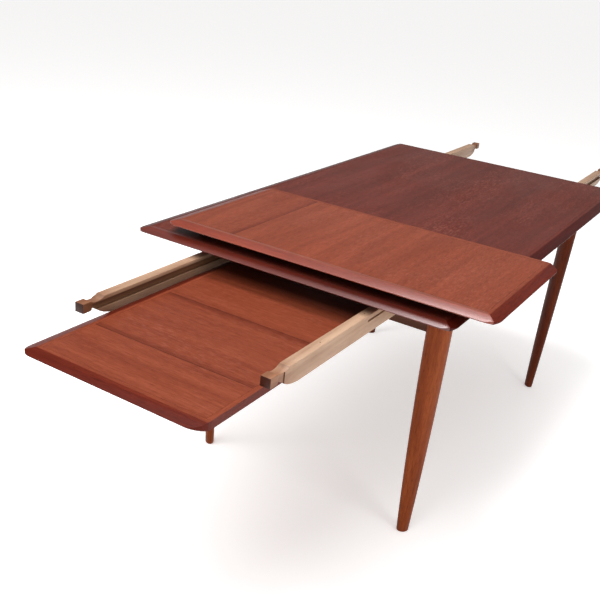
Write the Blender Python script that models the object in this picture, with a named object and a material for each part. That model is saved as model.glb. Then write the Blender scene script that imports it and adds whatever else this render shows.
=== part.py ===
"""Extendable dining table, shown with its lopers out, one leaf drawn and one leaf on the top.

Metres, +Z up, +Y along the table with the near end at -Y. Sizes are the table's own, and
everything is then moved so that the whole set stands over the origin.
"""
import math

import bmesh
import bpy
from mathutils import Matrix, Vector

for old in list(bpy.data.objects):
    bpy.data.objects.remove(old, do_unlink=True)

# ---------------------------------------------------------------- driving sizes
GAP = 0.0003            # glue line between pieces that touch
SLIP = 0.0005           # running clearance beside a moving piece

TOP_LENGTH = 1.580
TOP_WIDTH = 0.892
TOP_HEIGHT = 0.735
TOP_THICK = 0.021
LEAF_WIDTH = 0.461      # its length is the width of the top
LEAF_THICK = 0.019
CLEAT_HEIGHT = 0.016

BEVEL_RUN = 0.027       # wide bevel on the upper side of every outer edge
NOSE_DROP = 0.0105      # from the surface to the underside of the thin edge
NOSE_THICK = 0.002
UNDER_RUN = 0.030       # hidden bevel below the thin edge
CORNER_RADIUS = 0.035
LIPPING = 0.036
JOINT_STRIP = 0.012

LOPER_LENGTH = 0.940
LOPER_WIDTH = 0.024
LOPER_HEIGHT = 0.047
NECK_START = 0.027      # the neck is cut in behind the square nose
NECK_END = 0.050
NECK_CUT = 0.0025
LOPER_CLOSED = 0.745    # tip from the middle of the table when pushed in
NEAR_TIP = 1.183        # tips as the table stands, both pairs drawn out
FAR_TIP = 1.250
LOPER_INNER = 0.2315    # inner face of a near loper from the middle of the track
TRACK_X = -0.007        # the loper track lies slightly left of the middle of the top
DIVIDER = 0.004

APRON_FACE = 0.592      # outer face of an end apron from the middle
APRON_THICK = 0.022
APRON_BOTTOM = 0.615
SIDE_APRON_FACE = 0.357
CROSS_NEAR = -0.260
CROSS_FAR = 0.210

LEG_FOOT = Vector((0.334, 0.548, 0.0))
LEG_TOP = Vector((0.342, 0.572, 0.0))
LEG_FOOT_SIZE = (0.0330, 0.0255)    # breadth and depth of the oval section
LEG_TOP_SIZE = (0.0676, 0.0410)
LEG_SWELL = (2.1, 1.5)              # how fast each one fills out on the way up
LEG_FOOT_ROUND = 0.0035
LEG_STEPS = 12
LEG_SIDES = 32

NEAR_LEAF_END = -1.367  # outer end of the drawn leaf
STORED_LEAF_TOP = 0.6655
UPPER_LEAF_RIGHT = 0.529
UPPER_LEAF_NEAR = -0.769
STOP_PIN_Y = 0.345
STOP_PIN_RADIUS = 0.0025
STOP_PIN_REACH = 0.0035
STOP_SLOT_DEPTH = 0.0045
STOP_SLOT_HALF = 0.0028   # half the height of the slot
STOP_PIN_DROP = 0.0140    # below the top of a loper

# ---------------------------------------------------------------- worked-out sizes
UNDERSIDE = TOP_HEIGHT - TOP_THICK
FIX_TOP = UNDERSIDE - GAP
LOPER_TOP = TOP_HEIGHT - LEAF_THICK - CLEAT_HEIGHT
LOPER_BOTTOM = LOPER_TOP - LOPER_HEIGHT
NEAR_OUTER = LOPER_INNER + LOPER_WIDTH
DIVIDER_IN = NEAR_OUTER + SLIP
DIVIDER_OUT = DIVIDER_IN + DIVIDER
FAR_INNER = DIVIDER_OUT + SLIP
FAR_OUTER = FAR_INNER + LOPER_WIDTH
GUIDE_IN = FAR_OUTER + SLIP
GUIDE_OUT = GUIDE_IN + 0.0150
APRON_INNER = APRON_FACE - APRON_THICK
STEP = LOPER_BOTTOM - SLIP
STORED_CLEATS = STORED_LEAF_TOP - LEAF_THICK - CLEAT_HEIGHT
NEAR_FLOOR = STORED_CLEATS - SLIP
FAR_FLOOR = STORED_LEAF_TOP + 0.0105
UPPER_LEAF_TOP = TOP_HEIGHT + CLEAT_HEIGHT + LEAF_THICK

# the whole set is centred over the origin on its own outline
SET_X = (UPPER_LEAF_RIGHT - TOP_WIDTH / 2) / 2
SET_Y = (FAR_TIP + NEAR_LEAF_END) / 2
OFFSET = Vector((-SET_X, -SET_Y, 0.0))


# ---------------------------------------------------------------- helpers
def collection(name):
    made = bpy.data.collections.new(name)
    bpy.context.scene.collection.children.link(made)
    return made


PARTS = collection("extendable_dining_table")
CUTTERS = collection("cutters")


def material(name, colour, roughness, metallic=0.0):
    made = bpy.data.materials.new(name)
    made.use_nodes = True
    shader = made.node_tree.nodes["Principled BSDF"]
    shader.inputs["Base Color"].default_value = (*colour, 1.0)
    shader.inputs["Roughness"].default_value = roughness
    shader.inputs["Metallic"].default_value = metallic
    return made


FINISH = {
    "top": ((0.20, 0.060, 0.042), 0.38),
    "leaf": ((0.30, 0.100, 0.055), 0.38),
    "leg": ((0.22, 0.075, 0.032), 0.42),
    "frame": ((0.16, 0.060, 0.030), 0.55),
    "beech": ((0.58, 0.40, 0.24), 0.55),
    "steel": ((0.55, 0.55, 0.56), 0.35, 1.0),
}


def add(name, mesh, finish=None, place=(0.0, 0.0, 0.0)):
    """Wrap a mesh as a named part, or as a cutter when it has no finish."""
    obj = bpy.data.objects.new(name, mesh)
    obj.location = OFFSET + Vector(place)
    if finish:
        PARTS.objects.link(obj)
        mesh.materials.append(material(name + "_finish", *FINISH[finish]))
    else:
        CUTTERS.objects.link(obj)
        obj.hide_render = True
        obj.display_type = 'WIRE'
    return obj


def mesh_from(bm, name):
    bmesh.ops.recalc_face_normals(bm, faces=bm.faces)
    mesh = bpy.data.meshes.new(name)
    bm.to_mesh(mesh)
    bm.free()
    return mesh


def box(name, low, high, finish=None):
    """Box between two corners in the table's own frame."""
    low, high = Vector(low), Vector(high)
    bm = bmesh.new()
    size = Matrix.Diagonal((*(high - low), 1.0))
    bmesh.ops.create_cube(bm, size=1.0, matrix=size)
    return add(name, mesh_from(bm, name), finish, (low + high) / 2)


# turns a flat outline so that its thickness runs along an axis; its own axes keep their order
TURNS = {
    "x": Matrix(((0, 0, 1, 0), (1, 0, 0, 0), (0, 1, 0, 0), (0, 0, 0, 1))),
    "y": Matrix(((1, 0, 0, 0), (0, 0, 1, 0), (0, 1, 0, 0), (0, 0, 0, 1))),
    "z": Matrix.Identity(4),
}


def prism(name, outline, start, end, finish=None, along="z"):
    """Flat outline given thickness: (x, y) along z, (y, z) along x, (x, z) along y."""
    curve = bpy.data.curves.new(name, 'CURVE')
    curve.dimensions = '2D'
    curve.fill_mode = 'BOTH'
    curve.extrude = (end - start) / 2
    spline = curve.splines.new('POLY')
    spline.points.add(len(outline) - 1)
    for point, (a, b) in zip(spline.points, outline):
        point.co = (a, b, 0.0, 1.0)
    spline.use_cyclic_u = True
    drawn = bpy.data.objects.new(name, curve)
    bpy.context.scene.collection.objects.link(drawn)
    scene_state = bpy.context.evaluated_depsgraph_get()
    bm = bmesh.new()
    bm.from_mesh(bpy.data.meshes.new_from_object(drawn.evaluated_get(scene_state)))
    bpy.data.objects.remove(drawn, do_unlink=True)
    bmesh.ops.remove_doubles(bm, verts=bm.verts, dist=0.00001)
    middle = Matrix.Translation((0.0, 0.0, (start + end) / 2))
    bmesh.ops.transform(bm, matrix=TURNS[along] @ middle, verts=bm.verts)
    return add(name, mesh_from(bm, name), finish)


def rod(name, start, end, radius, finish=None, segments=24):
    start, end = Vector(start), Vector(end)
    run = end - start
    turn = run.to_track_quat('Z', 'Y').to_matrix().to_4x4()
    bm = bmesh.new()
    bmesh.ops.create_cone(bm, cap_ends=True, segments=segments, radius1=radius,
                          radius2=radius, depth=run.length, matrix=turn)
    return add(name, mesh_from(bm, name), finish, (start + end) / 2)


def boolean(obj, cutter, operation='DIFFERENCE'):
    step = obj.modifiers.new(cutter.name, 'BOOLEAN')
    step.object = cutter
    step.operation = operation
    step.solver = 'EXACT'


def arc(centre, radius, first, last, steps=8):
    """Points on an arc in plan, in degrees."""
    points = []
    for i in range(steps + 1):
        turn = math.radians(first + (last - first) * i / steps)
        points.append((centre[0] + radius * math.cos(turn),
                       centre[1] + radius * math.sin(turn)))
    return points


def rounded_outline(low, high, radius=CORNER_RADIUS):
    """Plan of a board with four rounded corners."""
    (x0, y0), (x1, y1) = low, high
    r = radius
    return (arc((x1 - r, y0 + r), r, -90, 0) + arc((x1 - r, y1 - r), r, 0, 90)
            + arc((x0 + r, y1 - r), r, 90, 180) + arc((x0 + r, y0 + r), r, 180, 270))


# ---------------------------------------------------------------- boards with a bevelled edge
def edge_piece(name, corners, side, surface, thick, finish, plan):
    """One solid lipping: a bar with the bevel on its outer side and mitred ends.

    corners are its four plan corners, side is the outward direction, plan rounds its ends.
    """
    low = surface - thick
    nose_low = surface - NOSE_DROP
    nose_high = nose_low + NOSE_THICK
    outer = max(side[0] * x + side[1] * y for x, y in corners)
    inner = outer - LIPPING + GAP
    profile = [(outer, nose_low), (outer, nose_high), (outer - BEVEL_RUN, surface),
               (inner, surface), (inner, low), (outer - UNDER_RUN, low)]
    if side[0]:
        length = [y for x, y in corners]
        shape = [(side[0] * a, b) for a, b in profile]
        bar = prism(name, shape, min(length), max(length), finish, along="y")
    else:
        length = [x for x, y in corners]
        shape = [(side[1] * a, b) for a, b in profile]
        bar = prism(name, shape, min(length), max(length), finish, along="x")
    ends = prism(name + "_ends", corners, low - 0.01, surface + 0.01)
    boolean(bar, ends, 'INTERSECT')
    boolean(bar, plan, 'INTERSECT')
    return bar


def lipping_corners(low, high, side, square=None):
    """Plan corners of one lipping; an end on a leaf's joint side, at high y, isn't mitred."""
    (x0, y0), (x1, y1) = low, high
    m, g = LIPPING, GAP / 2
    sx, sy = side
    if sy:
        y, into = (y0, 1) if sy < 0 else (y1, -1)
        return [(x0 + g, y), (x1 - g, y), (x1 - m - g, y + into * m),
                (x0 + m + g, y + into * m)]
    x, into = (x0, 1) if sx < 0 else (x1, -1)
    near = (y0 + g, y0 + m + g)
    far = (y1, y1) if square == "high" else (y1 - g, y1 - m - g)
    return [(x, near[0]), (x, far[0]), (x + into * m, far[1]), (x + into * m, near[1])]


def tabletop():
    low = (-TOP_WIDTH / 2, -TOP_LENGTH / 2)
    high = (TOP_WIDTH / 2, TOP_LENGTH / 2)
    plan = prism("top_plan", rounded_outline(low, high), UNDERSIDE - 0.01, TOP_HEIGHT + 0.01)
    m = LIPPING
    box("top_panel", (low[0] + m, low[1] + m, UNDERSIDE), (high[0] - m, high[1] - m, TOP_HEIGHT),
        "top")
    for name, side in (("near", (0, -1)), ("far", (0, 1)), ("left", (-1, 0)), ("right", (1, 0))):
        edge_piece("top_lipping_" + name, lipping_corners(low, high, side), side,
                   TOP_HEIGHT, TOP_THICK, "top", plan)


def leaf_board(name, low, high, surface, along, outer):
    """A leaf: panel, three bevelled lippings, one square joint strip and two cleats.

    along is the axis of its long sides; outer is the sign of its bevelled long side, and the
    joint side is the one across from it.
    """
    (x0, y0), (x1, y1) = low, high
    plan = prism(name + "_plan", rounded_outline(low, high), surface - 0.04, surface + 0.02)
    base, m, j = surface - LEAF_THICK, LIPPING, JOINT_STRIP
    if along == "x":
        sides = {"outer": (0, outer), "left": (-1, 0), "right": (1, 0)}
        panel = ((x0 + m, y0 + m), (x1 - m, y1 - j))
        strip = ((x0 + m, y1 - j + GAP), (x1 - m, y1))
    else:
        sides = {"outer": (outer, 0), "near": (0, -1), "far": (0, 1)}
        panel = ((x0 + m, y0 + m), (x1 - j, y1 - m))
        strip = ((x1 - j + GAP, y0 + m), (x1, y1 - m))
    box(name + "_panel", (*panel[0], base), (*panel[1], surface), "leaf")
    box(name + "_joint_strip", (*strip[0], base), (*strip[1], surface), "leaf")
    for label, side in sides.items():
        if along == "x":
            corners = lipping_corners(low, high, side, "high")
        else:
            corners = leaf_end_corners(low, high, side)
        edge_piece(f"{name}_lipping_{label}", corners, side, surface, LEAF_THICK, "leaf", plan)
    leaf_cleats(name, low, high, base, along)


def leaf_end_corners(low, high, side):
    """Plan corners for a leaf whose joint side is at high x."""
    (x0, y0), (x1, y1) = low, high
    m, g = LIPPING, GAP / 2
    if side[0]:
        return [(x0, y0 + g), (x0, y1 - g), (x0 + m, y1 - m - g), (x0 + m, y0 + m + g)]
    y, into = (y0, 1) if side[1] < 0 else (y1, -1)
    return [(x0 + g, y), (x1, y), (x1, y + into * m), (x0 + m + g, y + into * m)]


def leaf_cleats(name, low, high, base, along):
    """Two beech cleats under the leaf, along its length, that carry it on the lopers."""
    (x0, y0), (x1, y1) = low, high
    middle = ((x0 + x1) / 2, (y0 + y1) / 2)
    half, reach, spread = 0.015, 0.400, 0.125
    for label, sign in (("a", -1), ("b", 1)):
        if along == "x":
            c = middle[1] + sign * spread
            a, b = (middle[0] - reach, c - half), (middle[0] + reach, c + half)
        else:
            c = middle[0] + sign * spread
            a, b = (c - half, middle[1] - reach), (c + half, middle[1] + reach)
        box(f"{name}_cleat_{label}", (*a, base - CLEAT_HEIGHT), (*b, base - GAP), "beech")


def leaves():
    half = LEAF_WIDTH / 2
    leaf_board("lower_leaf", (TRACK_X - half, NEAR_LEAF_END),
               (TRACK_X + half, NEAR_LEAF_END + TOP_WIDTH), STORED_LEAF_TOP, "y", -1)
    leaf_board("upper_leaf", (UPPER_LEAF_RIGHT - TOP_WIDTH, UPPER_LEAF_NEAR),
               (UPPER_LEAF_RIGHT, UPPER_LEAF_NEAR + LEAF_WIDTH), UPPER_LEAF_TOP, "x", -1)


# ---------------------------------------------------------------- lopers
def track(side, distance):
    """Place across the table of something this far to one side of the track's middle."""
    return TRACK_X + side * distance


def loper_outline(tip, way):
    """Side view of a loper in (y, z): square nose, scooped neck, curved underside, plain tail."""
    t, b = LOPER_TOP, LOPER_BOTTOM
    shape = [(0.000, t - 0.0015), (0.000, t - 0.0240), (0.0220, t - 0.0240),
             (0.0260, t - 0.0215), (0.0340, t - 0.0215), (0.0430, t - 0.0260),
             (0.0520, t - 0.0330), (0.0640, t - 0.0390), (0.0800, t - 0.0435),
             (0.1020, b), (LOPER_LENGTH, b), (LOPER_LENGTH, t), (0.0660, t),
             (0.0600, t - 0.0035), (0.0500, t - 0.0060), (0.0400, t - 0.0068),
             (0.0300, t - 0.0055), (0.0240, t - 0.0015)]
    return [(tip - way * y, z) for y, z in shape]


def loper(name, inner, side, end, tip_distance):
    """side is -1 left or 1 right; end is -1 near or 1 far."""
    tip = end * tip_distance
    x0, x1 = sorted((track(side, inner), track(side, inner + LOPER_WIDTH)))
    bar = prism(name, loper_outline(tip, end), x0, x1, "beech", along="x")
    near = end < 0
    wide_face = track(side, inner if near else inner + LOPER_WIDTH)
    wide_way = side * (1 if near else -1)
    stop_face = track(side, inner + LOPER_WIDTH if near else inner)
    deep = sorted((wide_face - wide_way * 0.001, wide_face + wide_way * 0.007))
    ys = sorted((tip - end * NECK_START, tip - end * (LOPER_LENGTH + 0.001)))
    groove = box(name + "_groove", (deep[0], ys[0], LOPER_TOP - 0.0260),
                 (deep[1], ys[1], LOPER_TOP - 0.0090))
    boolean(bar, groove)
    first = LOPER_CLOSED - STOP_PIN_Y - STOP_PIN_RADIUS - SLIP
    last = FAR_TIP + 0.020 - STOP_PIN_Y + STOP_PIN_RADIUS + SLIP
    shallow = sorted((stop_face + wide_way * 0.001, stop_face - wide_way * STOP_SLOT_DEPTH))
    ys = sorted((tip - end * first, tip - end * last))
    middle = LOPER_TOP - STOP_PIN_DROP
    slot = box(name + "_stop_slot", (shallow[0], ys[0], middle - STOP_SLOT_HALF),
               (shallow[1], ys[1], middle + STOP_SLOT_HALF))
    boolean(bar, slot)
    waist_x = sorted((stop_face + wide_way * 0.001, stop_face - wide_way * NECK_CUT))
    ys = sorted((tip - end * NECK_START, tip - end * NECK_END))
    waist = box(name + "_waist", (waist_x[0], ys[0], LOPER_BOTTOM - 0.001),
                (waist_x[1], ys[1], LOPER_TOP + 0.001))
    boolean(bar, waist)


def lopers():
    for label, side in (("left", -1), ("right", 1)):
        loper("near_loper_" + label, LOPER_INNER, side, -1, NEAR_TIP)
        loper("far_loper_" + label, FAR_INNER, side, 1, FAR_TIP)


def stop_pins():
    """A steel pin in the divider runs in each loper's slot and ends its travel both ways."""
    z = LOPER_TOP - STOP_PIN_DROP
    for label, side in (("left", -1), ("right", 1)):
        x0, x1 = sorted((track(side, DIVIDER_IN), track(side, DIVIDER_OUT)))
        divider = box("loper_divider_" + label, (x0, -APRON_INNER + GAP, STEP),
                      (x1, APRON_INNER - GAP, LOPER_TOP + SLIP - GAP), "beech")
        for end_name, end in (("near", -1), ("far", 1)):
            y = end * STOP_PIN_Y
            into = DIVIDER_IN - STOP_PIN_REACH if end < 0 else DIVIDER_OUT + STOP_PIN_REACH
            back = DIVIDER_OUT if end < 0 else DIVIDER_IN
            rod(f"stop_pin_{end_name}_{label}", (track(side, back), y, z),
                (track(side, into), y, z), STOP_PIN_RADIUS, "steel")
            hole = rod(f"stop_pin_hole_{end_name}_{label}",
                       (track(side, DIVIDER_IN - 0.001), y, z),
                       (track(side, DIVIDER_OUT + 0.001), y, z), STOP_PIN_RADIUS + 0.0001)
            boolean(divider, hole)


def guides():
    """Rails under the top that carry the lopers and the stored leaves."""
    cap = LOPER_TOP + SLIP
    tongue_low, tongue_high = LOPER_TOP - 0.0253, LOPER_TOP - 0.0097
    for label, side in (("left", -1), ("right", 1)):
        section = [(LOPER_INNER - 0.0005, cap), (LOPER_INNER - 0.0005, FIX_TOP),
                   (GUIDE_OUT, FIX_TOP), (GUIDE_OUT, STEP), (GUIDE_IN, STEP),
                   (GUIDE_IN, tongue_low), (GUIDE_IN - 0.0060, tongue_low),
                   (GUIDE_IN - 0.0060, tongue_high), (GUIDE_IN, tongue_high), (GUIDE_IN, cap)]
        prism("loper_guide_" + label, [(track(side, x), z) for x, z in section],
              -APRON_INNER + GAP, APRON_INNER - GAP, "beech", along="y")
        inner = LOPER_INNER - 0.0010
        low = STORED_LEAF_TOP + 0.0015
        section = [(inner - 0.020, low), (inner - 0.020, FIX_TOP), (inner, FIX_TOP),
                   (inner, tongue_high), (inner + 0.0065, tongue_high),
                   (inner + 0.0065, tongue_low), (inner, tongue_low), (inner, low)]
        prism("inner_guide_" + label, [(track(side, x), z) for x, z in section],
              -APRON_INNER + GAP, CROSS_NEAR - GAP, "beech", along="y")
        x0, x1 = sorted((track(side, LOPER_INNER), track(side, DIVIDER_IN - GAP)))
        box("store_side_" + label, (x0, CROSS_FAR + APRON_THICK + GAP, STEP),
            (x1, APRON_INNER - GAP, cap - GAP), "beech")
    reach = SIDE_APRON_FACE - APRON_THICK - GAP
    box("store_bearer_near", (-reach, -0.430, APRON_BOTTOM),
        (reach, -0.400, NEAR_FLOOR), "beech")
    width = LOPER_INNER - GAP
    box("store_bearer_far", (track(-1, width), 0.400, FAR_FLOOR - 0.020),
        (track(1, width), 0.430, FAR_FLOOR), "beech")


# ---------------------------------------------------------------- frame and legs
def notched_board(name, half_width, y0, y1, notches, finish):
    """Upright board across the table, cut down from its top edge.

    notches are (inner x, outer x, floor) for one side, mirrored to the other.
    """
    board = box(name, (-half_width, y0, APRON_BOTTOM), (half_width, y1, FIX_TOP), finish)
    for i, (inner, outer, floor) in enumerate(notches):
        for label, side in (("left", -1), ("right", 1)):
            if inner == 0 and side < 0:
                continue
            low, high = sorted((track(side, inner), track(side, outer)))
            if inner == 0:
                low = track(-1, outer)
            cutter = box(f"{name}_notch_{i}_{label}", (low, y0 - 0.01, floor),
                         (high, y1 + 0.01, FIX_TOP + 0.01))
            boolean(board, cutter)
    return board


def leg_at(x, y, t):
    """Centre of the leg's axis at height t of its run, mirrored into one corner."""
    foot, top = LEG_FOOT, LEG_TOP
    centre = foot + (top - foot) * t
    return Vector((math.copysign(centre.x, x), math.copysign(centre.y, y), 0.0))


def leg_size(rise):
    """Breadth and depth of the oval at a height given from 0 to 1."""
    return [top - (top - foot) * (1.0 - rise) ** power
            for top, foot, power in zip(LEG_TOP_SIZE, LEG_FOOT_SIZE, LEG_SWELL)]


def leg_mesh(name, x, y, grow=0.0):
    """Oval taper lofted through its rings; the broad side faces the corner."""
    bm = bmesh.new()
    turn = math.atan2(y, x) + math.pi / 2
    rings = [0.0, LEG_FOOT_ROUND * 0.4, LEG_FOOT_ROUND]
    rings += [LEG_FOOT_ROUND + (FIX_TOP - LEG_FOOT_ROUND) * i / LEG_STEPS
              for i in range(1, LEG_STEPS + 1)]
    loops = []
    for height in rings:
        short = 1.0 - min(height / LEG_FOOT_ROUND, 1.0)
        inset = LEG_FOOT_ROUND * (1.0 - math.sqrt(1.0 - short ** 2))
        made = bmesh.ops.create_circle(bm, segments=LEG_SIDES, radius=0.5)
        size = [length + 2 * (grow - inset) for length in leg_size(height / FIX_TOP)]
        shape = Matrix.Diagonal((*size, 1.0, 1.0))
        spot = leg_at(x, y, height / FIX_TOP) + Vector((0.0, 0.0, height))
        place = Matrix.Translation(spot) @ Matrix.Rotation(turn, 4, 'Z') @ shape
        bmesh.ops.transform(bm, matrix=place, verts=made["verts"])
        loops.append(list({e for v in made["verts"] for e in v.link_edges}))
    for lower, upper in zip(loops, loops[1:]):
        bmesh.ops.bridge_loops(bm, edges=lower + upper)
    bmesh.ops.contextual_create(bm, geom=loops[0])
    bmesh.ops.contextual_create(bm, geom=loops[-1])
    return mesh_from(bm, name)


def legs():
    for end_name, end in (("near", -1), ("far", 1)):
        for label, side in (("left", -1), ("right", 1)):
            add(f"leg_{end_name}_{label}",
                leg_mesh("leg", side, end), "leg")


def frame():
    end_half = LEG_TOP.x
    opening = LOPER_INNER - 0.0005
    lopers_cut = (opening, NEAR_OUTER + SLIP, STEP)
    near = notched_board("end_apron_near", end_half, -APRON_FACE, -APRON_INNER,
                         [(0, opening, NEAR_FLOOR), lopers_cut], "frame")
    far = notched_board("end_apron_far", end_half, APRON_INNER, APRON_FACE,
                        [(0, opening, FAR_FLOOR), (DIVIDER_OUT, GUIDE_IN, STEP)], "frame")
    reach = SIDE_APRON_FACE - APRON_THICK - GAP
    guides_cut = (opening, GUIDE_OUT + GAP, STEP - GAP)
    notched_board("cross_rail_near", reach, CROSS_NEAR, CROSS_NEAR + APRON_THICK,
                  [(0, opening, NEAR_FLOOR), guides_cut], "beech")
    notched_board("cross_rail_far", reach, CROSS_FAR, CROSS_FAR + APRON_THICK,
                  [(0, opening, FAR_FLOOR), guides_cut], "beech")
    for label, side in (("left", -1), ("right", 1)):
        x0, x1 = sorted((side * SIDE_APRON_FACE, side * (SIDE_APRON_FACE - APRON_THICK)))
        rail = box("side_apron_" + label, (x0, -APRON_INNER + GAP, APRON_BOTTOM),
                   (x1, APRON_INNER - GAP, FIX_TOP), "frame")
        for end_name, end in (("near", -1), ("far", 1)):
            board = near if end < 0 else far
            scribe = add(f"scribe_{end_name}_{label}",
                         leg_mesh("scribe", side, end, GAP))
            boolean(board, scribe)
            boolean(rail, scribe)
            corner_block(f"{end_name}_{label}", side, end)


def corner_block(name, side, end):
    """Three-sided block in the corner, with a bolt through it into the leg."""
    x = SIDE_APRON_FACE - APRON_THICK - GAP
    y = APRON_INNER - GAP
    size = 0.026
    outline = [(side * x, end * y), (side * (x - size), end * y), (side * x, end * (y - 0.075))]
    low, high = APRON_BOTTOM + 0.010, FIX_TOP
    block = prism("corner_block_" + name, outline, low, high, "beech")
    scribe = add("block_scribe_" + name, leg_mesh("scribe", side, end, GAP))
    boolean(block, scribe)


tabletop()
leaves()
lopers()
stop_pins()
guides()
frame()
legs()
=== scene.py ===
import math

import bmesh
import bpy
from mathutils import Matrix, Vector


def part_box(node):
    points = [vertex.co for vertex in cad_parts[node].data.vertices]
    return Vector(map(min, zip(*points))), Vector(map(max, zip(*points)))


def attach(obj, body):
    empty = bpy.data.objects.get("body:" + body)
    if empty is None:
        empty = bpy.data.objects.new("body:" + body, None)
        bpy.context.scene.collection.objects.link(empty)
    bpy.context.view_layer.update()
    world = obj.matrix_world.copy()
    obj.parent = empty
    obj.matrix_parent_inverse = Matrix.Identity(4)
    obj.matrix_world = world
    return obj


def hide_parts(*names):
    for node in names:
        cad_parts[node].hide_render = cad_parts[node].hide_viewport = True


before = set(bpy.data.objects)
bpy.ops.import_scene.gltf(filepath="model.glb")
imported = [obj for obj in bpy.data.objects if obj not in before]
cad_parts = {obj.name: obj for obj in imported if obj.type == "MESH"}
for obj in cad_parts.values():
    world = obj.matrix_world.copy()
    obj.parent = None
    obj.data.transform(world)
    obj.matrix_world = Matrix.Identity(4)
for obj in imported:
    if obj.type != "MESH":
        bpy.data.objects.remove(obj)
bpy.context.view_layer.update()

# ================================================================ camera, floor and light
# The table stands on a pale studio floor. A wide soft light above its drawn end is the key,
# a small bright window behind it puts the sheen on the near bevels, and a low soft light on the
# right opens up the inner faces of the lopers.
panel_low, panel_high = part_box("top_panel")
TABLE_MIDDLE = Vector(((panel_low[0] + panel_high[0]) / 2, (panel_low[1] + panel_high[1]) / 2, 0.0))
LENS = 50.79
SENSOR = 36.0
SHIFT = (0.0454, 0.0456)
EYE = Vector((0.96888, -2.38319, 1.45702))
SIGHT = Vector((-0.47010, 0.77536, -0.42169)).normalized()
ROLL = math.radians(5.5219)

level = SIGHT.cross(Vector((0.0, 0.0, 1.0))).normalized()
upright = level.cross(SIGHT)
across = math.cos(ROLL) * level + math.sin(ROLL) * upright
upward = -math.sin(ROLL) * level + math.cos(ROLL) * upright
camera = bpy.data.objects.new("camera", bpy.data.cameras.new("camera"))
bpy.context.scene.collection.objects.link(camera)
camera.data.lens = LENS
camera.data.sensor_width = SENSOR
camera.data.shift_x, camera.data.shift_y = SHIFT
camera.data.clip_start = 0.05
camera.matrix_world = Matrix.Translation(TABLE_MIDDLE + EYE) @ Matrix(
    (across, upward, -SIGHT)).transposed().to_4x4()
bpy.context.scene.camera = camera


def softbox(name, place, aim, size, radiance, tint=(1.0, 1.0, 1.0)):
    """A square light that looks equally bright from anywhere in front of it."""
    lamp = bpy.data.lights.new(name, 'AREA')
    lamp.shape = 'RECTANGLE'
    lamp.size, lamp.size_y = size
    lamp.energy = radiance * math.pi * size[0] * size[1]
    lamp.color = tint
    light = bpy.data.objects.new(name, lamp)
    bpy.context.scene.collection.objects.link(light)
    light.location = TABLE_MIDDLE + Vector(place)
    light.rotation_euler = (Vector(aim) - Vector(place)).to_track_quat('-Z', 'Y').to_euler()


softbox("key", (-0.8, -2.6, 4.0), (0.0, -0.3, 0.7), (3.4, 2.6), 5.2)
softbox("window", (-0.06, -0.17, 3.66), (0.3, -0.77, 0.75), (1.0, 0.8), 24.0, (1.0, 0.95, 0.97))

softbox("fill", (3.2, -1.6, 1.3), (-0.2, -0.9, 0.70), (1.6, 1.2), 6.0)

# the room is pale at the skirting and bright above, and dim between, so that the flat top keeps
# its depth of colour
world = bpy.data.worlds.new("studio")
bpy.context.scene.world = world
world.use_nodes = True
sky = world.node_tree
sky_place = sky.nodes.new("ShaderNodeTexCoord")
sky_split = sky.nodes.new("ShaderNodeSeparateXYZ")
sky_band = sky.nodes.new("ShaderNodeValToRGB")
SKY = ((0.50, 0.22), (0.98, 0.80), (0.52, 0.18), (0.57, 0.05), (0.78, 0.30))
for i, (height, brightness) in enumerate(SKY):
    rows = sky_band.color_ramp.elements
    stop = rows[i] if i < 2 else rows.new(height)
    stop.position = height
    stop.color = (brightness, brightness, brightness, 1.0)
sky.links.new(sky_place.outputs["Generated"], sky_split.inputs[0])
sky.links.new(sky_split.outputs["Z"], sky_band.inputs["Fac"])
sky.links.new(sky_band.outputs["Color"], sky.nodes["Background"].inputs["Color"])
sky.nodes["Background"].inputs["Strength"].default_value = 1.55
bpy.context.scene.view_settings.view_transform = 'Standard'

bpy.ops.mesh.primitive_plane_add(size=600.0, location=(0.0, 0.0, 0.0))
floor = bpy.context.object
floor.name = "studio_floor"
floor_paint = bpy.data.materials.new("studio_floor_paint")
floor_paint.use_nodes = True
floor_shader = floor_paint.node_tree.nodes["Principled BSDF"]
floor_shader.inputs["Base Color"].default_value = (0.93, 0.93, 0.93, 1.0)
floor_shader.inputs["Roughness"].default_value = 0.9
floor_shader.inputs["Emission Color"].default_value = (1.0, 0.98, 0.97, 1.0)
floor_shader.inputs["Emission Strength"].default_value = 0.42
floor.data.materials.append(floor_paint)


# ================================================================ aprons
# Four boards of teak between the legs, dull, and given painted shade: a darker tone because they
# stay in the shade of the top.
# The end boards are notched from above for the lopers and the leaves that slide through them.
AXIS = {"x": 0, "y": 1, "z": 2}


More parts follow.
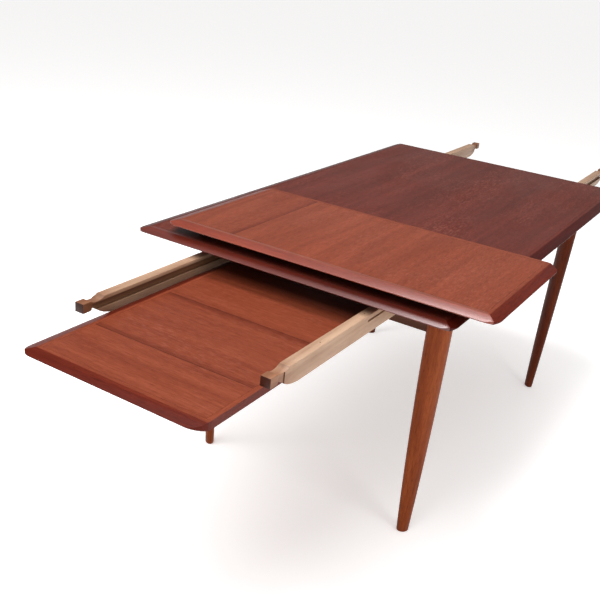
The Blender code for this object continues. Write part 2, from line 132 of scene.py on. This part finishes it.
class Wood:
    """Builds one wood finish from straight grain, fibres, pores and optional veneer joints."""

    def __init__(self, name, along, dark, middle, light, seed=0.0):
        self.made = bpy.data.materials.new(name)
        self.made.use_nodes = True
        self.tree = self.made.node_tree
        self.shader = self.tree.nodes["Principled BSDF"]
        self.along = along
        self.seed = seed
        self.coords = self.tree.nodes.new("ShaderNodeTexCoord").outputs["Object"]
        split = self.tree.nodes.new("ShaderNodeSeparateXYZ")
        self.tree.links.new(self.coords, split.inputs[0])
        self.place = split.outputs
        figure = self.noise(24.0, 0.07, detail=5.0, distortion=0.5)
        self.colour = self.ramp(figure, [(0.30, dark), (0.50, middle), (0.70, light)])

    def link(self, source, target):
        self.tree.links.new(source, target)

    def noise(self, scale, stretch, detail=2.0, roughness=0.55, distortion=0.0):
        """Noise with its cells drawn out along the grain; scale is cells a metre across it."""
        mapping = self.tree.nodes.new("ShaderNodeMapping")
        size = [1.0, 1.0, 1.0]
        size[AXIS[self.along]] = stretch
        mapping.inputs["Scale"].default_value = size
        mapping.inputs["Location"].default_value = (self.seed, self.seed * 1.7, self.seed * 0.6)
        self.link(self.coords, mapping.inputs["Vector"])
        node = self.tree.nodes.new("ShaderNodeTexNoise")
        node.inputs["Scale"].default_value = scale
        node.inputs["Detail"].default_value = detail
        node.inputs["Roughness"].default_value = roughness
        node.inputs["Distortion"].default_value = distortion
        self.link(mapping.outputs["Vector"], node.inputs["Vector"])
        return node.outputs["Fac"]

    def ramp(self, value, stops):
        node = self.tree.nodes.new("ShaderNodeValToRGB")
        band = node.color_ramp
        for i, (position, colour) in enumerate(stops):
            stop = band.elements[i] if i < 2 else band.elements.new(position)
            stop.position = position
            stop.color = (*colour, 1.0) if len(colour) == 3 else colour
        self.link(value, node.inputs["Fac"])
        return node.outputs["Color"]

    def span(self, value, low, high, to_low, to_high, smooth=False):
        """Maps a value's range to another, held at both ends."""
        node = self.tree.nodes.new("ShaderNodeMapRange")
        node.interpolation_type = 'SMOOTHSTEP' if smooth else 'LINEAR'
        node.inputs["From Min"].default_value = low
        node.inputs["From Max"].default_value = high
        node.inputs["To Min"].default_value = to_low
        node.inputs["To Max"].default_value = to_high
        self.link(value, node.inputs["Value"])
        return node.outputs["Result"]

    def sum(self, operation, first, second):
        node = self.tree.nodes.new("ShaderNodeMath")
        node.operation = operation
        for socket, value in zip(node.inputs, (first, second)):
            if isinstance(value, (int, float)):
                socket.default_value = value
            else:
                self.link(value, socket)
        return node.outputs[0]

    def shade(self, factor, colour):
        """Multiplies the wood by a colour where factor is 1."""
        node = self.tree.nodes.new("ShaderNodeMix")
        node.data_type = 'RGBA'
        node.blend_type = 'MULTIPLY'
        self.link(factor, node.inputs[0])
        self.link(self.colour, node.inputs[6])
        node.inputs[7].default_value = (*colour, 1.0)
        self.colour = node.outputs[2]

    def stain(self, factor, colour):
        """Covers the wood with a colour where factor is 1."""
        node = self.tree.nodes.new("ShaderNodeMix")
        node.data_type = 'RGBA'
        self.link(factor, node.inputs[0])
        self.link(self.colour, node.inputs[6])
        node.inputs[7].default_value = (*colour, 1.0)
        self.colour = node.outputs[2]

    def bands(self, scale, amount, stretch=0.03):
        """Straight stripes of growth, from fine to broad, drawn far along the grain."""
        stripes = self.noise(scale, stretch, detail=5.0, roughness=0.65)
        factor = self.span(stripes, 0.35, 0.68, amount, 0.0)
        self.shade(factor, (0.52, 0.42, 0.38))

    def pores(self, scale, amount):
        """Short dark dashes of open pores; they also dent the surface."""
        dashes = self.noise(scale, 0.045, detail=2.0, roughness=0.6)
        factor = self.span(dashes, 0.56, 0.72, 0.0, amount)
        self.shade(factor, (0.42, 0.32, 0.28))
        return dashes

    def facing(self, axis):
        """How squarely the surface faces along one axis, whichever way."""
        node = self.tree.nodes.new("ShaderNodeTexCoord")
        split = self.tree.nodes.new("ShaderNodeSeparateXYZ")
        self.link(node.outputs["Normal"], split.inputs[0])
        return self.sum('ABSOLUTE', split.outputs[AXIS[axis]], 0.0)

    def end_grain(self, colour):
        """Darkens the wood where it is cut across, which drinks more of the finish."""
        self.shade(self.span(self.facing(self.along), 0.25, 0.85, 0.0, 1.0), colour)

    def finish(self, roughness, spread, bump, dents, coat=0.0, gloss=0.3):
        """Gloss that varies with the figure, and a surface dented by its pores."""
        self.shader.inputs["Specular IOR Level"].default_value = gloss
        worn = self.noise(7.0, 0.5, detail=3.0)
        self.link(self.span(worn, 0.3, 0.7, roughness - spread, roughness + spread),
                  self.shader.inputs["Roughness"])
        node = self.tree.nodes.new("ShaderNodeBump")
        node.inputs["Strength"].default_value = bump
        node.inputs["Distance"].default_value = 0.0003
        self.link(self.sum('MULTIPLY', dents, -1.0), node.inputs["Height"])
        self.link(node.outputs["Normal"], self.shader.inputs["Normal"])
        self.link(self.colour, self.shader.inputs["Base Color"])
        self.shader.inputs["Coat Weight"].default_value = coat
        self.shader.inputs["Coat Roughness"].default_value = 0.22
        return self.made


def paint(node, material):
    """Gives one of the frame's own solids its finish."""
    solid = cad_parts[node]
    solid.data.materials.clear()
    solid.data.materials.append(material)


# painted shade: the aprons' teak is much darker than the legs', for the shade under the top
APRON_DARK = (0.050, 0.016, 0.008)
APRON_MIDDLE = (0.085, 0.028, 0.013)
APRON_LIGHT = (0.120, 0.042, 0.019)
for label, along in (("end", "x"), ("side", "y")):
    teak = Wood(f"apron_teak_{label}", along, APRON_DARK, APRON_MIDDLE, APRON_LIGHT, seed=3.1)
    teak.bands(70.0, 0.7)
    apron_finish = teak.finish(0.50, 0.06, 0.35, teak.pores(520.0, 0.6), gloss=0.12)
    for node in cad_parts:
        if node.startswith(label + "_apron"):
            paint(node, apron_finish)


# ================================================================ cross rails, guides and runners
# Plain beech that nobody sees: rails across the frame, guides that hold the lopers, thin strips
# between them, bearers for the stored leaves and blocks glued in the corners.
INNER_BEECH = {"x": ("cross_rail", "store_bearer"), "y": ("loper_guide", "inner_guide",
               "loper_divider", "store_side"), "z": ("corner_block",)}
for along, names in INNER_BEECH.items():
    beech = Wood("inner_beech_" + along, along, (0.25, 0.150, 0.080), (0.34, 0.215, 0.120),
                 (0.42, 0.28, 0.165), seed=7.3)
    beech.bands(60.0, 0.45)
    inner_finish = beech.finish(0.62, 0.05, 0.3, beech.pores(640.0, 0.35))
    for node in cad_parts:
        if node.startswith(names):
            paint(node, inner_finish)


# ================================================================ legs
# Solid teak, oval in section with the broad side facing out from the corner. They swell from a
# small rounded foot, lean out a little, and are scribed into the ends of the aprons.
LEG_FOOT = Vector((0.334, 0.548, 0.0))
LEG_TOP = Vector((0.342, 0.572, 0.0))
FOOT_SIZE = Vector((0.0330, 0.0255))
KNEE_SIZE = Vector((0.0676, 0.0410))
SWELL = (2.1, 1.5)
FOOT_ROUND = 0.0035
LEG_STEPS = 26
LEG_SIDES = 72
FOOT_RINGS = (0.0, 0.15, 0.5, 1.0)      # where the foot's round edge has its rings
LEG_TONES_FAR_SHADED = {           # painted shade: the two far legs have a darker tone than the near ones, for the shade of the top they stand in
    "near": ((0.180, 0.034, 0.006), (0.240, 0.050, 0.009), (0.305, 0.072, 0.016)),
    "far": ((0.088, 0.014, 0.003), (0.118, 0.021, 0.005), (0.153, 0.031, 0.008)),
}


def leg_size(rise):
    """Breadth and depth of the oval at a height given from 0 to 1."""
    return [top - (top - foot) * (1.0 - rise) ** power
            for top, foot, power in zip(KNEE_SIZE, FOOT_SIZE, SWELL)]


def deselect():
    bpy.ops.object.select_all(action='DESELECT')


def settle(piece):
    """Bakes a finished piece's place, turn and scale into its mesh."""
    deselect()
    piece.select_set(True)
    bpy.context.view_layer.objects.active = piece
    bpy.ops.object.transform_apply(location=True, rotation=True, scale=True)


def turned_leg(name, side, end):
    """Draws the oval up from the foot ring by ring, as a spokeshaved taper."""
    deselect()
    low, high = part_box(name)
    height = high[2]
    turn = math.atan2(end, side) + math.pi / 2
    foot = TABLE_MIDDLE + Vector((side * LEG_FOOT.x, end * LEG_FOOT.y, 0.0))
    lean = Vector((side * (LEG_TOP.x - LEG_FOOT.x), end * (LEG_TOP.y - LEG_FOOT.y), 0.0)) / height
    bpy.ops.mesh.primitive_circle_add(vertices=LEG_SIDES, radius=0.5, fill_type='NGON')
    leg = bpy.context.object
    rings = [FOOT_ROUND * t for t in FOOT_RINGS]
    rings += [FOOT_ROUND + (height - FOOT_ROUND) * i / LEG_STEPS for i in range(1, LEG_STEPS + 1)]
    bpy.ops.object.mode_set(mode='EDIT')
    bpy.ops.mesh.select_all(action='SELECT')
    size = (1.0, 1.0)
    for i, z in enumerate(rings):
        inset = FOOT_ROUND * (1.0 - math.sqrt(1.0 - (1.0 - min(z / FOOT_ROUND, 1.0)) ** 2))
        new = [s - 2.0 * inset for s in leg_size(z / height)]
        step = Vector((0.0, 0.0, z - (rings[i - 1] if i else 0.0)))
        if i:
            bpy.ops.mesh.extrude_region_move(TRANSFORM_OT_translate={"value": step})
        scale = (new[0] / size[0], new[1] / size[1], 1.0)
        bpy.ops.transform.resize(value=scale, center_override=(0.0, 0.0, z))
        size = new
    bpy.ops.mesh.select_all(action='SELECT')
    bpy.ops.mesh.normals_make_consistent(inside=False)
    bpy.ops.object.mode_set(mode='OBJECT')
    leg.name = name + "_shaped"
    leg.rotation_euler = (0.0, 0.0, turn)
    leg.location = foot
    settle(leg)
    for vertex in leg.data.vertices:
        vertex.co += lean * vertex.co.z
    bpy.ops.object.shade_smooth_by_angle(angle=math.radians(50.0))
    return leg


for end_name, end in (("near", -1), ("far", 1)):
    for side_name, side in (("left", -1), ("right", 1)):
        node = f"leg_{end_name}_{side_name}"
        leg = turned_leg(node, side, end)
        tone = LEG_TONES_FAR_SHADED[end_name]
        teak = Wood(node + "_teak", "z", *tone, seed=2.0 * side + 5.0 * end)
        teak.bands(90.0, 0.45, stretch=0.05)
        teak.bands(380.0, 0.55, stretch=0.06)
        leg.data.materials.append(teak.finish(0.42, 0.06, 0.4, teak.pores(700.0, 0.85), gloss=0.09))
        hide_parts(node)
        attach(leg, "table")


# ================================================================ table top
# A veneered board in a frame of solid teak lippings. Each lipping is planed to a wide bevel above
# and a shorter one below, so that the edge itself is only about two millimetres thick.
ARRIS = 0.0016          # roundness where the bevel meets the flat
EDGE_EASE = 0.0006      # roundness of the thin edge
END_POLISH = 0.25       # weight of the wax coat on the bevels nearest a user, worn shiny
SIDE_POLISH = 0.0       # and on the others
PAINTED_SHADED_BEVEL = (0.52, 0.24, 0.18)      # painted shade: what a bevel's colour is multiplied by, darker and redder than the flat
# painted light: the near bevels are multiplied by a lighter, warmer tint, as if lit from the front
PAINTED_LIT_BEVEL = (1.0, 0.58, 0.34)
FLECK = (0.44, 0.17, 0.12)
JOINT_FLAT = 0.3        # a face this upright, and not facing out, is a glued joint


def own_copy(node, name):
    """A merged copy of a frame solid, ready to be shaped."""
    deselect()
    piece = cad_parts[node].copy()
    piece.data = piece.data.copy()
    bpy.context.scene.collection.objects.link(piece)
    piece.parent = None
    piece.matrix_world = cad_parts[node].matrix_world
    piece.name = name
    piece.data.materials.clear()
    piece.select_set(True)
    bpy.context.view_layer.objects.active = piece
    bpy.ops.object.transform_apply(location=True, rotation=True, scale=True)
    bpy.ops.object.mode_set(mode='EDIT')
    bpy.ops.mesh.select_all(action='SELECT')
    bpy.ops.mesh.remove_doubles(threshold=0.00002)
    bpy.ops.mesh.dissolve_limited(angle_limit=math.radians(1.0))
    bpy.ops.object.mode_set(mode='OBJECT')
    return piece


def ease(piece, weight_of, width, segments=3):
    """Rounds the piece's edges; weight_of(edge) says how much of the width each takes."""
    work = bmesh.new()
    work.from_mesh(piece.data)
    weights = work.edges.layers.float.new("bevel_weight_edge")
    for edge in work.edges:
        edge[weights] = weight_of(edge) if len(edge.link_faces) == 2 else 0.0
    work.to_mesh(piece.data)
    work.free()
    rounding = piece.modifiers.new("rounding", 'BEVEL')
    rounding.limit_method = 'WEIGHT'
    rounding.width = width
    rounding.segments = segments
    rounding.use_clamp_overlap = True
    rounding.harden_normals = False
    deselect()
    piece.select_set(True)
    bpy.context.view_layer.objects.active = piece
    bpy.ops.object.modifier_apply(modifier="rounding")
    bpy.ops.object.shade_smooth_by_angle(angle=math.radians(28.0))


def lipping_weight(outward, surface):
    """Full width where the bevel meets the flat, little at the thin edge, none at a joint."""
    def weigh(edge):
        if edge.calc_face_angle(0.0) < math.radians(7.0):
            return 0.0
        for face in edge.link_faces:
            if abs(face.normal.z) < JOINT_FLAT and face.normal.dot(outward) < JOINT_FLAT:
                return 0.0
        height = max(vertex.co.z for vertex in edge.verts)
        return 1.0 if height > surface - 0.0005 else EDGE_EASE / ARRIS
    return weigh


def teak_board(name, along, tone, seams=(), axis="y", seed=0.0, polish=0.0, edge=PAINTED_SHADED_BEVEL,
               flecks=0.0):
    """Oiled teak: broad figure, straight stripes, pores, and the joints between veneer leaves.

    The bevels carry painted shade, darker and redder than the flats, and the near ones painted
    light, a warmer tint. Flecks are the pale marks that the rays leave in slanting patches.
    """
    dark, middle, light = tone
    teak = Wood(name, along, dark, middle, light, seed=seed)
    teak.bands(38.0, 0.20)
    teak.bands(150.0, 0.26, stretch=0.03)
    teak.bands(520.0, 0.62, stretch=0.075)
    # painted shade: faces that tilt away from straight up, the bevels, are multiplied by the bevel
    # tint
    teak.shade(teak.span(teak.facing("z"), 0.955, 0.995, 1.0, 0.0), edge)
    if flecks:
        patch = teak.span(teak.noise(7.0, 0.30, detail=3.0), 0.42, 0.64, 0.15 * flecks, flecks)
        mark = teak.span(teak.noise(360.0, 0.14, detail=3.0), 0.50, 0.66, 0.0, 1.0)
        teak.stain(teak.sum('MULTIPLY', patch, mark), FLECK)
    for i, (seam, side) in enumerate(seams):
        offset = teak.sum('SUBTRACT', teak.place[AXIS[axis]], seam)
        gap = teak.sum('ABSOLUTE', offset, 0.0)
        teak.shade(teak.span(gap, 0.0005, 0.0013, 0.85, 0.0), (0.25, 0.18, 0.17))
        beside = teak.sum('MULTIPLY', offset, side)
        rise = teak.span(beside, -0.001, 0.001, 0.0, 1.0)
        fall = teak.span(beside, 0.004, 0.022, 1.0, 0.0, smooth=True)
        teak.shade(teak.sum('MULTIPLY', teak.sum('MULTIPLY', rise, fall), 0.62),
                   (0.55, 0.42, 0.42))
    gloss = 0.09 + 1.64 * polish
    return teak.finish(0.36, 0.05, 0.30, teak.pores(760.0, 0.80), coat=polish, gloss=gloss)


TOP_TONE = ((0.104, 0.018, 0.011), (0.124, 0.022, 0.013), (0.148, 0.029, 0.018))
paint("top_panel", teak_board("top_veneer", "y", TOP_TONE, seed=1.3, flecks=0.20))
TOP_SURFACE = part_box("top_panel")[1][2]
SIDES = {"near": ("x", (0, -1, 0)), "far": ("x", (0, 1, 0)),
         "left": ("y", (-1, 0, 0)), "right": ("y", (1, 0, 0))}
POLISH = {"near": END_POLISH, "far": SIDE_POLISH, "left": SIDE_POLISH, "right": SIDE_POLISH}
# painted light on the near bevel of the top, painted shade on the other three
BEVEL_LIGHT_AND_SHADE = {"near": PAINTED_LIT_BEVEL, "far": PAINTED_SHADED_BEVEL, "left": PAINTED_SHADED_BEVEL, "right": PAINTED_SHADED_BEVEL}
SEEDS = {"near": 4.1, "far": 3.2, "left": 5.6, "right": 6.4, "outer": 7.9}
for label, (along, outward) in SIDES.items():
    node = "top_lipping_" + label
    lipping = own_copy(node, node + "_bevelled")
    ease(lipping, lipping_weight(Vector(outward), TOP_SURFACE), ARRIS)
    lipping.data.materials.append(teak_board(node + "_teak", along, TOP_TONE,
                                             seed=SEEDS[label], polish=POLISH[label],
                                             edge=BEVEL_LIGHT_AND_SHADE[label]))
    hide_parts(node)
    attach(lipping, "table")


# ================================================================ leaves
# Two loose boards made like the top, with one long side left square for the joint. Each has two
# beech cleats below. One is drawn out between the near lopers, the other lies across the top.
LEAF_TONE = ((0.196, 0.042, 0.019), (0.232, 0.053, 0.024), (0.275, 0.067, 0.032))
near_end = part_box("lower_leaf_lipping_near")[0][1]
left_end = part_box("upper_leaf_lipping_left")[0][0]
LEAVES = {
    "lower_leaf": (2.7, "drawn leaf", "x", "y", [(near_end + 0.183, 1.0), (near_end + 0.430, -1.0)],
                   {"near": ("x", (0, -1, 0)), "far": ("x", (0, 1, 0)),
                    "outer": ("y", (-1, 0, 0))}, "y"),
    "upper_leaf": (8.3, "top leaf", "y", "x", [(left_end + 0.191, -1.0)],
                   {"left": ("y", (-1, 0, 0)), "right": ("y", (1, 0, 0)),
                    "outer": ("x", (0, -1, 0))}, "x"),
}
for leaf, (seed, body, grain, seam_axis, seams, sides, long_axis) in LEAVES.items():
    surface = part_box(leaf + "_panel")[1][2]
    paint(leaf + "_panel", teak_board(leaf + "_veneer", grain, LEAF_TONE, seams, seam_axis,
                                      seed=seed, flecks=0.15))
    for label, (along, outward) in sides.items():
        node = f"{leaf}_lipping_{label}"
        lipping = own_copy(node, node + "_bevelled")
        ease(lipping, lipping_weight(Vector(outward), surface), ARRIS)
        facing_user = node == "upper_leaf_lipping_outer"
        polish = END_POLISH if facing_user else SIDE_POLISH
        # painted light on the upper leaf's outer bevel, painted shade on its other bevels
        edge = PAINTED_LIT_BEVEL if facing_user else PAINTED_SHADED_BEVEL
        lipping.data.materials.append(teak_board(node + "_teak", along, LEAF_TONE, polish=polish,
                                                 seed=SEEDS[label] + seed, edge=edge))
        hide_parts(node)
        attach(lipping, body)
    paint(leaf + "_joint_strip", teak_board(leaf + "_strip_teak", long_axis, LEAF_TONE, seed=2.2))
    cleat = Wood(leaf + "_cleat_beech", long_axis, (0.30, 0.18, 0.10), (0.40, 0.26, 0.15),
                 (0.47, 0.32, 0.19), seed=4.4)
    cleat.bands(70.0, 0.4)
    cleat_finish = cleat.finish(0.58, 0.05, 0.3, cleat.pores(640.0, 0.3))
    for end in ("a", "b"):
        paint(f"{leaf}_cleat_{end}", cleat_finish)


# ================================================================ lopers
# Beech bars that slide out to carry a leaf. The nose is cut down to a small square and stained,
# the neck is scooped above and below, and a stained groove runs on the guide's tongue. The right
# near one has two old screw holes in its top.
LOPER_EASE = 0.0009
GROOVE_DEPTH = 0.007
GROOVE_TOP = 0.0075         # the groove's faces lie between these, below the top of a loper
GROOVE_BOTTOM = 0.0275
SCREW_HOLES = (-0.982, -0.784)      # left in the right near loper, from the middle of the table
SCREW_HOLE_RADIUS = 0.0018
SCREW_HOLE_DEPTH = 0.014


def loper_weight(edge):
    """Eases every real corner of a loper, and leaves its flat faces alone."""
    return 1.0 if edge.calc_face_angle(0.0) > math.radians(20.0) else 0.0


def loper_beech(name, tip, way, seed):
    """Pale straight beech, darkened by hands and stain towards the nose."""
    beech = Wood(name, "y", (0.34, 0.205, 0.125), (0.42, 0.270, 0.175), (0.48, 0.325, 0.22),
                 seed=seed)
    beech.bands(85.0, 0.42, stretch=0.025)
    back = beech.sum('MULTIPLY', beech.sum('SUBTRACT', beech.place[1], tip), way)
    rough = beech.noise(60.0, 0.5, detail=3.0)
    edge = beech.sum('ADD', back, beech.span(rough, 0.3, 0.7, -0.010, 0.010))
    beech.shade(beech.span(edge, 0.010, 0.110, 0.90, 0.0, smooth=True), (0.50, 0.28, 0.16))
    beech.end_grain((0.20, 0.10, 0.07))
    dirt = beech.noise(16.0, 0.3, detail=4.0)
    beech.shade(beech.span(dirt, 0.52, 0.75, 0.0, 0.45), (0.62, 0.48, 0.38))
    return beech.finish(0.52, 0.07, 0.35, beech.pores(700.0, 0.40))


def screw_hole(bar, place):
    """Bores an old screw hole down into the top face."""
    bpy.ops.mesh.primitive_cylinder_add(vertices=20, radius=SCREW_HOLE_RADIUS,
                                        depth=2.0 * SCREW_HOLE_DEPTH, location=place)
    bit = bpy.context.object
    hole = bar.modifiers.new("screw_hole", 'BOOLEAN')
    hole.object = bit
    hole.operation = 'DIFFERENCE'
    hole.solver = 'EXACT'
    deselect()
    bar.select_set(True)
    bpy.context.view_layer.objects.active = bar
    bpy.ops.object.modifier_apply(modifier="screw_hole")
    bpy.data.objects.remove(bit)


def groove_stain(name, seed):
    """Beech stained dark brown, for the faces inside a groove."""
    beech = Wood(name, "y", (0.150, 0.070, 0.034), (0.205, 0.100, 0.050), (0.260, 0.135, 0.070),
                 seed=seed)
    beech.bands(120.0, 0.5)
    return beech.finish(0.50, 0.06, 0.3, beech.pores(700.0, 0.4))


for end_name, way in (("near", 1), ("far", -1)):
    for side_name, side in (("left", -1), ("right", 1)):
        node = f"{end_name}_loper_{side_name}"
        low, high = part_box(node)
        tip = low[1] if way > 0 else high[1]
        bar = own_copy(node, node + "_shaped")
        ease(bar, loper_weight, LOPER_EASE, segments=2)
        seed = 2.0 * side + 3.0 * way
        bar.data.materials.append(loper_beech(node + "_beech", tip, way, seed))
        bar.data.materials.append(groove_stain(node + "_groove_stain", seed))
        grooved = low[0] if (side > 0) == (way > 0) else high[0]
        for face in bar.data.polygons:
            depth = abs(face.center.x - grooved)
            wall = 0.0011 < depth < GROOVE_DEPTH + 0.0002 and abs(face.normal.x) < 0.5
            back = abs(depth - GROOVE_DEPTH) < 0.0004 and abs(face.normal.x) > 0.9
            drop = high[2] - face.center.z
            if GROOVE_TOP < drop < GROOVE_BOTTOM and (wall or back):
                face.material_index = 1
        if node == "near_loper_right":
            for from_middle in SCREW_HOLES:
                centre = (low[0] + high[0]) / 2
                screw_hole(bar, (centre, TABLE_MIDDLE.y + from_middle, high[2]))
        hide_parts(node)
        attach(bar, f"{side_name} {end_name} loper")


# ================================================================ stop pins
# Plain steel pins driven through the strips between the lopers; each ends a loper's travel.
steel = bpy.data.materials.new("pin_steel")
steel.use_nodes = True
steel_shader = steel.node_tree.nodes["Principled BSDF"]
steel_shader.inputs["Metallic"].default_value = 1.0
steel_noise = steel.node_tree.nodes.new("ShaderNodeTexNoise")
steel_noise.inputs["Scale"].default_value = 900.0
steel_ramp = steel.node_tree.nodes.new("ShaderNodeValToRGB")
steel_ramp.color_ramp.elements[0].color = (0.38, 0.37, 0.36, 1.0)
steel_ramp.color_ramp.elements[1].color = (0.62, 0.61, 0.60, 1.0)
steel_place = steel.node_tree.nodes.new("ShaderNodeTexCoord")
steel.node_tree.links.new(steel_place.outputs["Object"], steel_noise.inputs["Vector"])
steel.node_tree.links.new(steel_noise.outputs["Fac"], steel_ramp.inputs["Fac"])
steel.node_tree.links.new(steel_ramp.outputs["Color"], steel_shader.inputs["Base Color"])
steel_shader.inputs["Roughness"].default_value = 0.38
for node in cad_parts:
    if node.startswith("stop_pin"):
        paint(node, steel)
